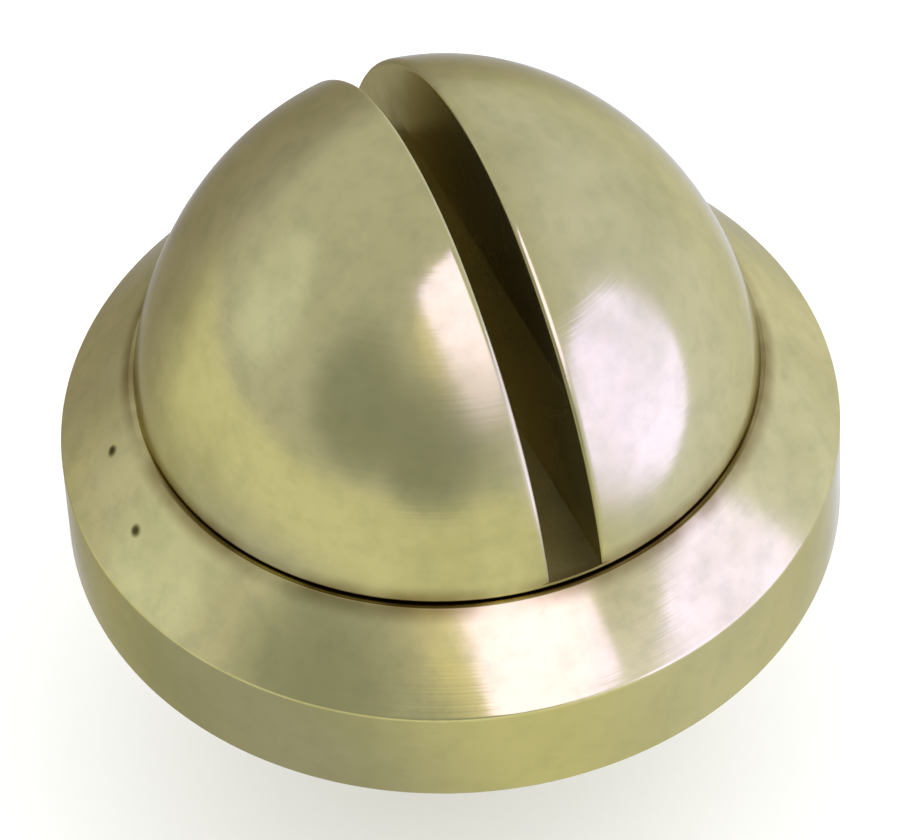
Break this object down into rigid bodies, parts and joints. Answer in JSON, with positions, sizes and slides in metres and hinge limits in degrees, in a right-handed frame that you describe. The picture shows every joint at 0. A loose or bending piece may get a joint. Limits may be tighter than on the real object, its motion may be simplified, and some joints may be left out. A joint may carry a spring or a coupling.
{
  "type": "slotted dome head wood screw with screw cup",
  "caption": "Brass wood screw with a tall slotted dome head, seated in a turned solid cup with a bevelled collar; it turns in the cup as it is driven.",
  "frame": {"origin": "on the screw's axis, in the plane of the cup's bearing face, which lies on the work", "axes": "+Z along the axis out of the head, Y along the driver slot, X across the slot"},
  "size_m": [0.014, 0.014, 0.0159],
  "materials": {
    "cup_brass": "turned and lightly polished, unlacquered",
    "screw_brass": "turned and polished, unlacquered"
  },
  "bodies": {
    "cup": {"screw_cup": "cup_brass"},
    "screw": {"dome_head_screw": "screw_brass"}
  },
  "joints": [
    {"name": "screw_turn", "type": "hinge", "parent": "cup", "child": "screw", "pos_m": [0, 0, 0], "axis": [0, 0, 1], "continuous": true}
  ]
}
